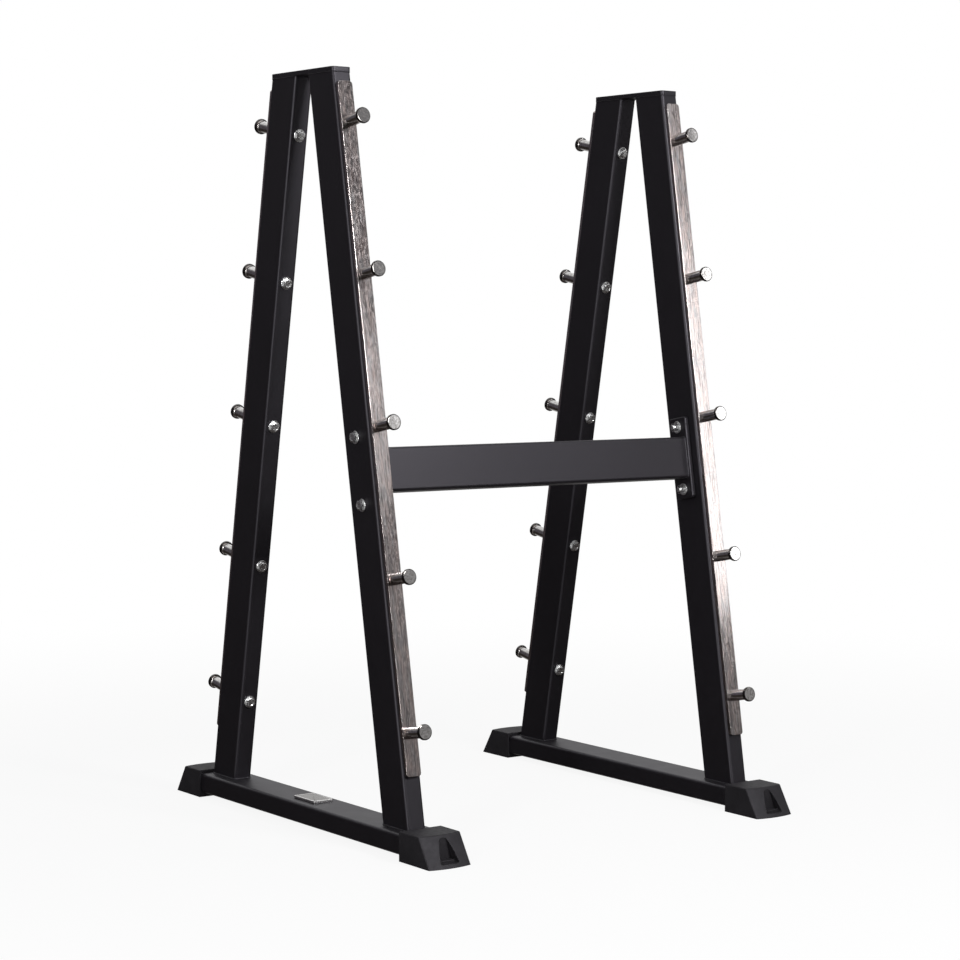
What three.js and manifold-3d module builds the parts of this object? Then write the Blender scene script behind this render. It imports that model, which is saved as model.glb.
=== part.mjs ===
// Barbell storage rack: two A-frames of rectangular tube, one crossbar, five pegs on each leaning upright
import * as THREE from 'three';
import { mergeVertices } from 'three/addons/utils/BufferGeometryUtils.js';
import Module from 'manifold-3d';

const wasm = await Module();
wasm.setup();

// Whole rack in millimetres: x runs along the crossbar, y along the base tubes, z goes up from the floor
const rackHeight = 1440;
const baseLength = 934;
const frameSpacing = 790;
const faceSpreadAtFloor = 729.6;
const faceSpreadAtTop = 212.4;

// Gaps between pieces that meet, room round bolts, and how far a cutting tool runs past what it cuts
const seatGap = 0.3;
const boltRoom = 0.5;
const overrun = 10;

// Rectangular tube of the bases, the uprights and the crossbar
const tubeWide = 85;
const tubeThin = 40;
const tubeWall = 3;
const tubeCorner = 6;

// Plate that closes the top of each A-frame
const plateThickness = 9;
const plateOverhang = 0.6;
const plateEdge = 1;

// Moulded feet, with a bulging and slanted end face that has an arched recess with a ledge at its back
const soleThickness = 9.4;
const sleeveSide = 4;
const sleeveTop = 6.6;
const footLength = 102.4;
const footBulge = 7;
const footSlant = 35;
const footEndWall = 7;
const footEdge = 4;
const pocketLowDepth = 24.5;
const pocketHighDepth = 0.8;
const pocketLowWidth = 42;
const pocketMidWidth = 31;
const pocketHighWidth = 15;
const pocketLowMargin = 7;
const pocketMidMargin = 30;
const pocketHighMargin = 5;
const pocketLowCorner = 4;
const pocketMidCorner = 40;
const pocketHighCorner = 7;
const ledgeHeight = 5;
const ledgeReach = 12;

// Bare metal strip on the outer face of each upright
const stripWidth = 31.5;
const stripThickness = 8;
const stripCorner = 6;
const stripTopInset = 19;
const stripLowInset = 99.5;

// Pegs, counted down from the top of the upright, one of them just above the upper bolts of the crossbar
const pegCount = 5;
const pegsOverCrossbar = 3;
const pegTopInset = 94.6;
const pegLowInset = 179.6;
const pegBoltGap = 4.2;
const pegReach = 50;
const pegDiameter = 22;
const pegRimDiameter = 29.5;
const pegRimThickness = 6.5;
const pegRimChamfer = 1.5;

// Hex fasteners
const boltDiameter = 10;
const hexAcrossFlats = 17;
const headThickness = 6.5;
const nutThickness = 8;
const washerDiameter = 24;
const washerThickness = 2;
const boltTail = 4;

// Crossbar and its end flanges, placed along the upright and in from its outer face
const crossbarHeight = 718.8;
const crossbarDepth = 44;
const crossbarWide = 83.5;
const flangeLength = 165;
const flangeWidth = 51;
const flangeThickness = 10;
const flangeCorner = 6;
const flangeEdge = 2.5;
const flangeBoltSpacing = 126;

// Plain plate on the left base tube
const badgeLength = 75;
const badgeWidth = 44;
const badgeThickness = 5;
const badgeCorner = 3;
const badgeEdge = 1;

// Facets on round stretches
const cornerSteps = 3;
const edgeSteps = 2;
const bulgeSteps = 8;
const pegFacets = 16;
const boltFacets = 10;
const hexSides = 6;

// Places that follow from the sizes
const baseTop = soleThickness + tubeThin;
const plateUnderside = rackHeight - plateThickness;
const lean = Math.atan2((faceSpreadAtFloor - faceSpreadAtTop) / 2, rackHeight);
const tubeEnd = baseLength / 2 - footBulge - footSlant - footEndWall;
const uprightTop = (plateUnderside - seatGap) / Math.cos(lean);
const stripFace = seatGap + stripThickness;
const hexRadius = hexAcrossFlats / Math.sqrt(3);
const holeRadius = boltDiameter / 2 + boltRoom;
const pegTop = uprightTop - pegTopInset;
const pegMiddle = crossbarHeight + flangeBoltSpacing / 2 + boltDiameter + pegBoltGap;
const pegLow = baseTop / Math.cos(lean) + pegLowInset;

// Unit directions
const alongX = new THREE.Vector3(1, 0, 0);
const alongY = new THREE.Vector3(0, 1, 0);
const alongZ = new THREE.Vector3(0, 0, 1);

// Finishes
const blackPaint = { color: 0x211f22, roughness: 0.42, metalness: 0.1 };
const brushedSteel = { color: 0xb9b4b0, roughness: 0.34, metalness: 1 };
const polishedSteel = { color: 0xc4c3c2, roughness: 0.14, metalness: 1 };
const zincPlate = { color: 0xbcbcb8, roughness: 0.3, metalness: 1 };
const darkRubber = { color: 0x2c2b2d, roughness: 0.7, metalness: 0 };
const bareMetal = { color: 0xa9a5a3, roughness: 0.38, metalness: 1 };

function piece(name, geometry, finish) {
  const mesh = new THREE.Mesh(geometry, new THREE.MeshStandardMaterial(finish));
  mesh.name = name;
  return mesh;
}

// Solid for joining and cutting, from a closed geometry
function toSolid(geometry) {
  const bare = geometry.clone();
  bare.deleteAttribute('normal');
  bare.deleteAttribute('uv');
  const merged = mergeVertices(bare);
  const vertProperties = merged.attributes.position.array;
  const triVerts = new Uint32Array(merged.index.array);
  return new wasm.Manifold(new wasm.Mesh({ numProp: 3, vertProperties, triVerts }));
}

function toGeometry(solid) {
  const { vertProperties, triVerts } = solid.getMesh();
  const indexed = new THREE.BufferGeometry();
  indexed.setAttribute('position', new THREE.BufferAttribute(vertProperties, 3));
  indexed.setIndex(new THREE.BufferAttribute(triVerts, 1));
  const flat = indexed.toNonIndexed();
  flat.computeVertexNormals();
  return flat;
}

// Outline through corners given counter-clockwise, each rounded by its own radius
function roundedOutline(corners) {
  const points = [];
  corners.forEach((corner, i) => {
    const here = new THREE.Vector2(corner.x, corner.y);
    if (corner.radius === 0) {
      points.push(here);
      return;
    }
    const before = corners[(i + corners.length - 1) % corners.length];
    const after = corners[(i + 1) % corners.length];
    const back = new THREE.Vector2(before.x, before.y).sub(here).normalize();
    const ahead = new THREE.Vector2(after.x, after.y).sub(here).normalize();
    const half = Math.acos(back.dot(ahead)) / 2;
    const inward = back.clone().add(ahead).normalize();
    const centre = here.clone().addScaledVector(inward, corner.radius / Math.sin(half));
    const start = here.clone().addScaledVector(back, corner.radius / Math.tan(half));
    for (let step = 0; step <= cornerSteps; step += 1) {
      const turn = (Math.PI - 2 * half) * (step / cornerSteps);
      points.push(start.clone().rotateAround(centre, turn));
    }
  });
  return points;
}

function rectangle(width, height, radius) {
  const x = width / 2;
  const y = height / 2;
  return roundedOutline([
    { x, y: -y, radius },
    { x, y, radius },
    { x: -x, y, radius },
    { x: -x, y: -y, radius },
  ]);
}

function circle(radius, facets, x = 0, y = 0) {
  const points = [];
  for (let i = 0; i < facets; i += 1) {
    const turn = 2 * Math.PI * ((i + 0.5) / facets);
    points.push(new THREE.Vector2(x + radius * Math.cos(turn), y + radius * Math.sin(turn)));
  }
  return points;
}

function prism(outer, length, holes = []) {
  const shape = new THREE.Shape(outer);
  shape.holes = holes.map((hole) => new THREE.Path(hole));
  return new THREE.ExtrudeGeometry(shape, { depth: length, bevelEnabled: false });
}

// Flat plate with eased edges on both faces, lying on z from zero up
function easedPlate(outline, thickness, edge) {
  const geometry = new THREE.ExtrudeGeometry(new THREE.Shape(outline), {
    depth: thickness - 2 * edge,
    bevelThickness: edge,
    bevelSize: edge,
    bevelOffset: -edge,
    bevelSegments: edgeSteps,
  });
  return geometry.translate(0, 0, edge);
}

// Turns a geometry so that its own axes point along the three given directions
function turned(geometry, xTo, yTo, zTo) {
  return geometry.applyMatrix4(new THREE.Matrix4().makeBasis(xTo, yTo, zTo));
}

// Rectangular tube with its length on z, centred on the axis
function tube(width, height, length) {
  const insideCorner = Math.max(tubeCorner - tubeWall, tubeWall / 2);
  const bore = rectangle(width - 2 * tubeWall, height - 2 * tubeWall, insideCorner);
  return prism(rectangle(width, height, tubeCorner), length, [bore]);
}

function baseTube(name) {
  const geometry = tube(tubeThin, tubeWide, 2 * tubeEnd);
  turned(geometry, alongZ, alongX, alongY);
  geometry.translate(0, -tubeEnd, soleThickness + tubeThin / 2);
  return piece(name, geometry, blackPaint);
}

// Arched recess in the slanted end face of a foot, as the block that it leaves empty: its back wall stands
// nearly upright, so the recess runs out in the face at the top, and a ledge lies at the foot of that wall
function footPocket(faceHeight) {
  const low = pocketLowMargin;
  const high = faceHeight - pocketHighMargin;
  const arch = roundedOutline([
    { x: low, y: -pocketLowWidth / 2, radius: pocketLowCorner },
    { x: pocketMidMargin, y: -pocketMidWidth / 2, radius: pocketMidCorner },
    { x: high, y: -pocketHighWidth / 2, radius: pocketHighCorner },
    { x: high, y: pocketHighWidth / 2, radius: pocketHighCorner },
    { x: pocketMidMargin, y: pocketMidWidth / 2, radius: pocketMidCorner },
    { x: low, y: pocketLowWidth / 2, radius: pocketLowCorner },
  ]);
  const outside = baseLength / 2 + overrun;
  const backLow = baseLength / 2 - footSlant * (low / faceHeight) - pocketLowDepth;
  const backHigh = baseLength / 2 - footSlant * (high / faceHeight) - pocketHighDepth;
  const block = turned(prism(arch, outside), alongZ, alongX, alongY);
  const corners = block.attributes.position;
  for (let i = 0; i < corners.count; i += 1) {
    if (corners.getY(i) < outside / 2) {
      corners.setY(i, backLow + (backHigh - backLow) * ((corners.getZ(i) - low) / (high - low)));
    }
  }
  const ledge = new THREE.BoxGeometry(tubeWide, ledgeReach + overrun, ledgeHeight + overrun);
  ledge.translate(0, backLow + (ledgeReach - overrun) / 2, low + (ledgeHeight - overrun) / 2);
  return toSolid(block).subtract(toSolid(ledge));
}

// Foot at the +y end as one block: a plan with a bulging end, whose end face then leans back with height
function footBlock(width, height) {
  const outerEnd = baseLength / 2;
  const innerEnd = outerEnd - footLength;
  const radius = (width * width / 4 + footBulge * footBulge) / (2 * footBulge);
  const turn = Math.acos(width / 2 / radius);
  const plan = new THREE.Shape();
  plan.moveTo(-width / 2, innerEnd);
  plan.lineTo(width / 2, innerEnd);
  plan.absarc(0, outerEnd - radius, radius, turn, Math.PI - turn, false);
  const block = new THREE.ExtrudeGeometry(plan, {
    depth: height,
    curveSegments: bulgeSteps,
    bevelThickness: footEdge,
    bevelSize: footEdge,
    bevelOffset: -footEdge,
    bevelSegments: edgeSteps,
  });
  block.translate(0, 0, -footEdge);
  const corners = block.attributes.position;
  for (let i = 0; i < corners.count; i += 1) {
    if (corners.getY(i) > innerEnd + footLength / 2) {
      corners.setY(i, corners.getY(i) - footSlant * (corners.getZ(i) / height));
    }
  }
  return block;
}

// Rubber foot at the +y end of a base tube
function foot(name) {
  const height = baseTop + sleeveTop;
  const width = tubeWide + 2 * sleeveSide;
  const room = 2 * seatGap;
  const socket = prism(rectangle(tubeThin + room, tubeWide + room, tubeCorner), footLength + overrun);
  turned(socket, alongZ, alongX, alongY);
  socket.translate(0, tubeEnd + seatGap - footLength - overrun, soleThickness + tubeThin / 2);
  const reach = footLength + overrun;
  const floor = new THREE.BoxGeometry(width + overrun, 2 * reach, reach);
  floor.translate(0, baseLength / 2 - footLength / 2, -reach / 2);
  let solid = toSolid(footBlock(width, height)).subtract(toSolid(floor));
  solid = solid.subtract(toSolid(socket)).subtract(footPocket(height));
  return piece(name, toGeometry(solid), darkRubber);
}

function topPlate(name) {
  const faceAtPlate = faceSpreadAtFloor / 2 - plateUnderside * Math.tan(lean);
  const width = tubeThin + 2 * plateOverhang;
  const length = 2 * (faceAtPlate + plateOverhang);
  const outline = rectangle(width, length, tubeCorner + plateOverhang);
  const geometry = easedPlate(outline, plateThickness, plateEdge);
  geometry.translate(0, 0, plateUnderside);
  return piece(name, geometry, blackPaint);
}

// Distance along the upright from the floor to a peg, on the outer face: the pegs share out evenly what lies
// between the top one and the one over the crossbar, and between that one and the lowest
function pegPlace(number) {
  const middle = pegsOverCrossbar - 1;
  if (number < middle) {
    return pegMiddle + (pegTop - pegMiddle) * ((middle - number) / middle);
  }
  const below = pegCount - pegsOverCrossbar;
  return pegMiddle - (pegMiddle - pegLow) * ((number - middle) / below);
}

// Cutting tool for a round hole through the upright, from its outer face to its inner one
function pegHole(along) {
  const tool = new THREE.CylinderGeometry(holeRadius, holeRadius, tubeWide + 2 * overrun, boltFacets);
  return toSolid(tool.translate(0, tubeWide / 2, along));
}

function crossbarHole(along) {
  const tool = prism(circle(holeRadius, boltFacets), tubeThin + 2 * overrun);
  turned(tool, alongY, alongZ, alongX);
  return toSolid(tool.translate(-tubeThin / 2 - overrun, crossbarDepth, along));
}

// Upright in its own leaning frame: y goes in from its outer face, z runs up along it
function upright(name, holdsCrossbar) {
  const geometry = tube(tubeThin, tubeWide, 1).translate(0, tubeWide / 2, 0);
  const corners = geometry.attributes.position;
  for (let i = 0; i < corners.count; i += 1) {
    const level = corners.getZ(i) === 0 ? baseTop + seatGap : plateUnderside - seatGap;
    corners.setZ(i, (level + corners.getY(i) * Math.sin(lean)) / Math.cos(lean));
  }
  let solid = toSolid(geometry);
  for (let number = 0; number < pegCount; number += 1) {
    solid = solid.subtract(pegHole(pegPlace(number)));
  }
  if (holdsCrossbar) {
    solid = solid.subtract(crossbarHole(crossbarHeight - flangeBoltSpacing / 2));
    solid = solid.subtract(crossbarHole(crossbarHeight + flangeBoltSpacing / 2));
  }
  return piece(name, toGeometry(solid), blackPaint);
}

function wearStrip(name) {
  const low = baseTop / Math.cos(lean) + stripLowInset;
  const high = uprightTop - stripTopInset;
  const middle = (low + high) / 2;
  const holes = [];
  for (let number = 0; number < pegCount; number += 1) {
    holes.push(circle(holeRadius, boltFacets, 0, pegPlace(number) - middle));
  }
  const geometry = prism(rectangle(stripWidth, high - low, stripCorner), stripThickness, holes);
  turned(geometry, alongX, alongZ, alongY.clone().negate());
  geometry.translate(0, -seatGap, middle);
  return piece(name, geometry, brushedSteel);
}

// Turned peg with its bolt and washer, on y from the outside of the strip through to the inner face
function peg(name) {
  const shankRadius = boltDiameter / 2;
  const pegRadius = pegDiameter / 2;
  const rimRadius = pegRimDiameter / 2;
  const base = stripFace + seatGap;
  const end = stripFace + pegReach;
  const rimStart = end - pegRimThickness;
  const washerOuter = -(tubeWide + seatGap);
  const washerInner = washerOuter - washerThickness;
  const profile = [
    [0, washerInner],
    [washerDiameter / 2, washerInner],
    [washerDiameter / 2, washerOuter],
    [shankRadius, washerOuter],
    [shankRadius, base],
    [pegRadius, base],
    [pegRadius, rimStart],
    [rimRadius - pegRimChamfer, rimStart],
    [rimRadius, rimStart + pegRimChamfer],
    [rimRadius, end - pegRimChamfer],
    [rimRadius - pegRimChamfer, end],
    [0, end],
  ];
  const points = profile.map(([radius, place]) => new THREE.Vector2(radius, place));
  const body = toSolid(new THREE.LatheGeometry(points, pegFacets));
  const sunk = headThickness + washerThickness / 2;
  const head = new THREE.CylinderGeometry(hexRadius, hexRadius, sunk, hexSides);
  head.translate(0, washerInner - headThickness + sunk / 2, 0);
  const geometry = toGeometry(body.add(toSolid(head)));
  return piece(name, geometry.rotateX(Math.PI), polishedSteel);
}

// Leaning frame of an upright at the -y end, with its origin where the outer face would meet the floor
function leaningGroup(pieces) {
  const group = new THREE.Group();
  group.position.y = -faceSpreadAtFloor / 2;
  group.rotation.x = -lean;
  group.add(...pieces);
  return group;
}

function leg(place, holdsCrossbar) {
  const pieces = [upright(`upright_${place}`, holdsCrossbar), wearStrip(`wear_strip_${place}`)];
  for (let number = 0; number < pegCount; number += 1) {
    const item = peg(`peg_${place}_${number + 1}`);
    item.position.z = pegPlace(number);
    pieces.push(item);
  }
  return leaningGroup(pieces);
}

// Turns what stands at the -y end of a frame round to its +y end, or the other way
function otherEnd(object) {
  const group = new THREE.Group();
  group.rotation.z = Math.PI;
  group.add(object);
  return group;
}

function badgePlate() {
  const outline = rectangle(badgeWidth, badgeLength, badgeCorner);
  const geometry = easedPlate(outline, badgeThickness, badgeEdge);
  geometry.translate(0, 0, baseTop + seatGap);
  return piece('badge_plate', geometry, bareMetal);
}

function aFrame(side) {
  const frame = new THREE.Group();
  frame.add(baseTube(`base_tube_${side}`));
  frame.add(topPlate(`top_plate_${side}`));
  frame.add(foot(`foot_rear_${side}`));
  frame.add(otherEnd(foot(`foot_front_${side}`)));
  frame.add(leg(`front_${side}`, true));
  frame.add(otherEnd(leg(`rear_${side}`, false)));
  return frame;
}

// Washer, bolt and nut lie on x, with the head toward +x and the origin at the middle of the upright
function washer(name, start) {
  const hole = circle(holeRadius, boltFacets);
  const geometry = prism(circle(washerDiameter / 2, boltFacets), washerThickness, [hole]);
  turned(geometry, alongY, alongZ, alongX);
  return piece(name, geometry.translate(start, 0, 0), zincPlate);
}

function crossbarBolt(name, headStart, tailEnd) {
  const head = prism(circle(hexRadius, hexSides), headThickness).translate(0, 0, headStart);
  const shankLength = headStart - tailEnd + headThickness / 2;
  const shank = prism(circle(boltDiameter / 2, boltFacets), shankLength).translate(0, 0, tailEnd);
  const geometry = toGeometry(toSolid(head).add(toSolid(shank)));
  return piece(name, turned(geometry, alongY, alongZ, alongX), zincPlate);
}

function nut(name, start) {
  const bore = circle(boltDiameter / 2 + seatGap, boltFacets);
  const geometry = prism(circle(hexRadius, hexSides), nutThickness, [bore]);
  turned(geometry, alongY, alongZ, alongX);
  return piece(name, geometry.translate(start, 0, 0), zincPlate);
}

// One bolted joint of the crossbar, head outside the frame and nut inside
function fastening(place) {
  const outside = tubeThin / 2 + seatGap;
  const flangeFace = outside + flangeThickness;
  const headStart = outside + washerThickness + seatGap;
  const innerWasher = flangeFace + seatGap + washerThickness;
  const nutEnd = innerWasher + seatGap + nutThickness;
  const group = new THREE.Group();
  group.add(washer(`crossbar_washer_outer_${place}`, outside));
  group.add(crossbarBolt(`crossbar_bolt_${place}`, headStart, -nutEnd - boltTail));
  group.add(washer(`crossbar_washer_inner_${place}`, -innerWasher));
  group.add(nut(`crossbar_nut_${place}`, -nutEnd));
  return group;
}

function flangeHole(along) {
  const outline = circle(holeRadius, boltFacets, 0, along);
  return toSolid(prism(outline, flangeThickness + 2 * overrun).translate(0, 0, -overrun));
}

function flange(name) {
  const outline = rectangle(flangeWidth, flangeLength, flangeCorner);
  let solid = toSolid(easedPlate(outline, flangeThickness, flangeEdge));
  solid = solid.subtract(flangeHole(flangeBoltSpacing / 2));
  solid = solid.subtract(flangeHole(-flangeBoltSpacing / 2));
  return piece(name, turned(toGeometry(solid), alongY, alongZ, alongX), blackPaint);
}

// Flange and bolts at the +x end of the crossbar, measured from the middle of the upright there
function crossbarEnd(side) {
  const end = new THREE.Group();
  const plate = flange(`crossbar_flange_${side}`);
  plate.position.x = -tubeThin / 2 - seatGap - flangeThickness;
  const upper = fastening(`${side}_upper`);
  upper.position.z = flangeBoltSpacing / 2;
  const lower = fastening(`${side}_lower`);
  lower.position.z = -flangeBoltSpacing / 2;
  end.add(plate, upper, lower);
  return end;
}

// Crossbar with both ends, in the leaning frame of the front uprights
function crossbar() {
  const toFlange = frameSpacing / 2 - tubeThin / 2 - 2 * seatGap - flangeThickness;
  const geometry = tube(tubeThin, crossbarWide, 2 * toFlange).translate(0, 0, -toFlange);
  const bar = piece('crossbar_tube', turned(geometry, alongY, alongZ, alongX), blackPaint);
  const right = crossbarEnd('right');
  right.position.x = frameSpacing / 2;
  const left = crossbarEnd('left');
  left.position.x = -frameSpacing / 2;
  left.rotation.z = Math.PI;
  const group = new THREE.Group();
  group.add(bar, right, left);
  group.position.set(0, crossbarDepth, crossbarHeight);
  return leaningGroup([group]);
}

const rack = new THREE.Group();
const leftFrame = aFrame('left');
leftFrame.position.x = -frameSpacing / 2;
leftFrame.add(badgePlate());
const rightFrame = aFrame('right');
rightFrame.position.x = frameSpacing / 2;
rack.add(leftFrame, rightFrame, crossbar());

export default rack;
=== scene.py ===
import math

import bmesh
import bpy
from mathutils import Matrix, Vector


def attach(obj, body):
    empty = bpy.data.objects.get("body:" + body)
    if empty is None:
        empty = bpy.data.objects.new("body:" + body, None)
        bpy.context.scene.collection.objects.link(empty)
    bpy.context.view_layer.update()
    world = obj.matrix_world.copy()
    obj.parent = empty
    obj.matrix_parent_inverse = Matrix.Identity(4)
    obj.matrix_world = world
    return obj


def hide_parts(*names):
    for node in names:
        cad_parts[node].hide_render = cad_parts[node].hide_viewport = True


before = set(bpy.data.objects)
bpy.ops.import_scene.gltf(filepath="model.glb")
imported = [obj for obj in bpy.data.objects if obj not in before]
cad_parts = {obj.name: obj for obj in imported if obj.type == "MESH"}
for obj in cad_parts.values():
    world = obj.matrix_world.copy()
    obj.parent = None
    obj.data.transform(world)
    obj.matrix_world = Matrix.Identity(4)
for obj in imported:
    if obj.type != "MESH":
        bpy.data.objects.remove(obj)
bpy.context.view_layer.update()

# Sizes of the rack in metres: the solids' own, and those of fine edges, threads and welds
RACK_HEIGHT = 1.440
BASE_LENGTH = 0.934
HALF_SPACING = 0.395
FACE_SPREAD_AT_FLOOR = 0.7296
FACE_SPREAD_AT_TOP = 0.2124
SEAT = 0.0003
TUBE_WIDE = 0.085
TUBE_THIN = 0.040
TUBE_CORNER = 0.006
PLATE_THICKNESS = 0.009
PLATE_OVERHANG = 0.0006
PLATE_EDGE = 0.001

SOLE_THICKNESS = 0.0094
SLEEVE_SIDE = 0.004
SLEEVE_TOP = 0.0066
FOOT_LENGTH = 0.1024
FOOT_BULGE = 0.007
FOOT_SLANT = 0.035
FOOT_END_WALL = 0.007
FOOT_EDGE = 0.0022
POCKET_LOW_DEPTH = 0.0245
POCKET_HIGH_DEPTH = 0.0008
POCKET_LOW_WIDTH = 0.042
POCKET_MID_WIDTH = 0.031
POCKET_HIGH_WIDTH = 0.015
POCKET_LOW_MARGIN = 0.007
POCKET_MID_MARGIN = 0.030
POCKET_HIGH_MARGIN = 0.005
POCKET_LOW_EASE = 0.004
POCKET_MID_EASE = 0.007
POCKET_HIGH_EASE = 0.0055
POCKET_EDGE = 0.0009
POCKET_EDGE_ANGLE = math.radians(38)
POCKET_EDGE_SEGMENTS = 2
LEDGE_HEIGHT = 0.005
LEDGE_REACH = 0.012
LEDGE_EDGE = 0.0015

STRIP_WIDTH = 0.0315
STRIP_THICKNESS = 0.008
STRIP_CORNER = 0.006
STRIP_EDGE = 0.0009
STRIP_TOP_INSET = 0.019
STRIP_LOW_INSET = 0.0995

PEG_TOP_INSET = 0.0946
PEG_LOW_INSET = 0.1796
PEG_BOLT_GAP = 0.0042
PEG_REACH = 0.050
PEG_RADIUS = 0.011
PEG_RIM_RADIUS = 0.01475
PEG_RIM_THICKNESS = 0.0065
PEG_RIM_CHAMFER = 0.0014
PEG_RING = 0.00224
PEG_NECK = 0.00084
PEG_SEAT_CHAMFER = PEG_RIM_CHAMFER / 3
PEG_FACE_DISH = 0.0001

BOLT_RADIUS = 0.005
HEX_FLATS = 0.017
HEX_CHAMFER = math.radians(30)
HEX_FACE_SHARE = 0.93
HEAD_DISH = 0.0006
DISH_FLOOR_SHARE = 0.62
DISH_BRIM_SHARE = 0.74
HEAD_THICKNESS = 0.0065
NUT_THICKNESS = 0.008
WASHER_RADIUS = 0.012
WASHER_BORE = 0.0055
WASHER_THICKNESS = 0.002
WASHER_EDGE = 0.0004
BOLT_TAIL = 0.004
THREAD_PITCH = 0.0013
THREAD_DEPTH = 0.0006
THREAD_ROOT_SHARE = 0.1

CROSSBAR_HEIGHT = 0.7188
CROSSBAR_DEPTH = 0.044
CROSSBAR_WIDE = 0.0835
FLANGE_LENGTH = 0.165
FLANGE_WIDTH = 0.051
FLANGE_THICKNESS = 0.010
FLANGE_CORNER = 0.006
FLANGE_EDGE = 0.0025
FLANGE_BOLT_SPACING = 0.126

BADGE_LENGTH = 0.075
BADGE_WIDTH = 0.044
BADGE_THICKNESS = 0.005
BADGE_CORNER = 0.003
BADGE_EDGE = 0.0009
BADGE_RIM = 0.0022
BADGE_SINK = 0.0005

WELD_RADIUS = 0.0019
HEAD_WELD_RADIUS = 0.00095
FOOT_WELD_LIFT = 0.00019
HEAD_WELD_DROP = 0.000475
WELD_STEP = 0.0012
WELD_RIPPLE = 0.0036
WELD_HOLLOW_SHARE = 0.86
WELD_ROUNDING = 2
WELD_SMOOTH_ANGLE = math.radians(80)

# How far tools overrun, what counts as the same place, and how finely shapes are rounded
OVERRUN = 0.010
NEAR = 1e-5
ROUND_SHARE = 0.3
CORNER_SEGMENTS = 7
EDGE_SEGMENTS = 3
ARCH_SEGMENTS = 6
BULGE_STEPS = 20
PEG_STEPS = 56
HEX_STEPS = 36
BOLT_STEPS = 24
WASHER_STEPS = 40
SMOOTH_ANGLE = math.radians(32)

# Places that follow from the sizes
BASE_TOP = SOLE_THICKNESS + TUBE_THIN
PLATE_UNDERSIDE = RACK_HEIGHT - PLATE_THICKNESS
LEAN = math.atan2((FACE_SPREAD_AT_FLOOR - FACE_SPREAD_AT_TOP) / 2, RACK_HEIGHT)
TUBE_END = BASE_LENGTH / 2 - FOOT_BULGE - FOOT_SLANT - FOOT_END_WALL
UPRIGHT_TOP = (PLATE_UNDERSIDE - SEAT) / math.cos(LEAN)
BASE_TOP_ALONG = BASE_TOP / math.cos(LEAN)
STRIP_FACE = SEAT + STRIP_THICKNESS
PEG_TOP = UPRIGHT_TOP - PEG_TOP_INSET
PEG_MIDDLE = CROSSBAR_HEIGHT + FLANGE_BOLT_SPACING / 2 + 2 * BOLT_RADIUS + PEG_BOLT_GAP
PEG_LOW = BASE_TOP_ALONG + PEG_LOW_INSET
PEG_PLACES = [
    PEG_TOP,
    (PEG_TOP + PEG_MIDDLE) / 2,
    PEG_MIDDLE,
    (PEG_MIDDLE + PEG_LOW) / 2,
    PEG_LOW,
]

SIDES = {"left": -HALF_SPACING, "right": HALF_SPACING}
ENDS = {"front": 0.0, "rear": math.pi}
TO_OUTSIDE = Matrix.Rotation(math.pi / 2, 4, "X")
TO_INSIDE = Matrix.Rotation(-math.pi / 2, 4, "X")
AS_IS = Matrix.Identity(4)
WHITE = (1.0, 1.0, 1.0)


def frame_place(side, end="front"):
    """A frame's own axes, turned half round for what stands at its rear end."""
    return Matrix.Translation((SIDES[side], 0, 0)) @ Matrix.Rotation(ENDS[end], 4, "Z")


def leg_place(side, end):
    """A leaning upright's own axes: y goes in from its outer face, z runs up along it."""
    foot_of_face = Matrix.Translation((0, -FACE_SPREAD_AT_FLOOR / 2, 0))
    return frame_place(side, end) @ foot_of_face @ Matrix.Rotation(-LEAN, 4, "X")


# Finishes
def grey(level):
    """A colour of equal red, green and blue."""
    return (level, level, level)


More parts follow.
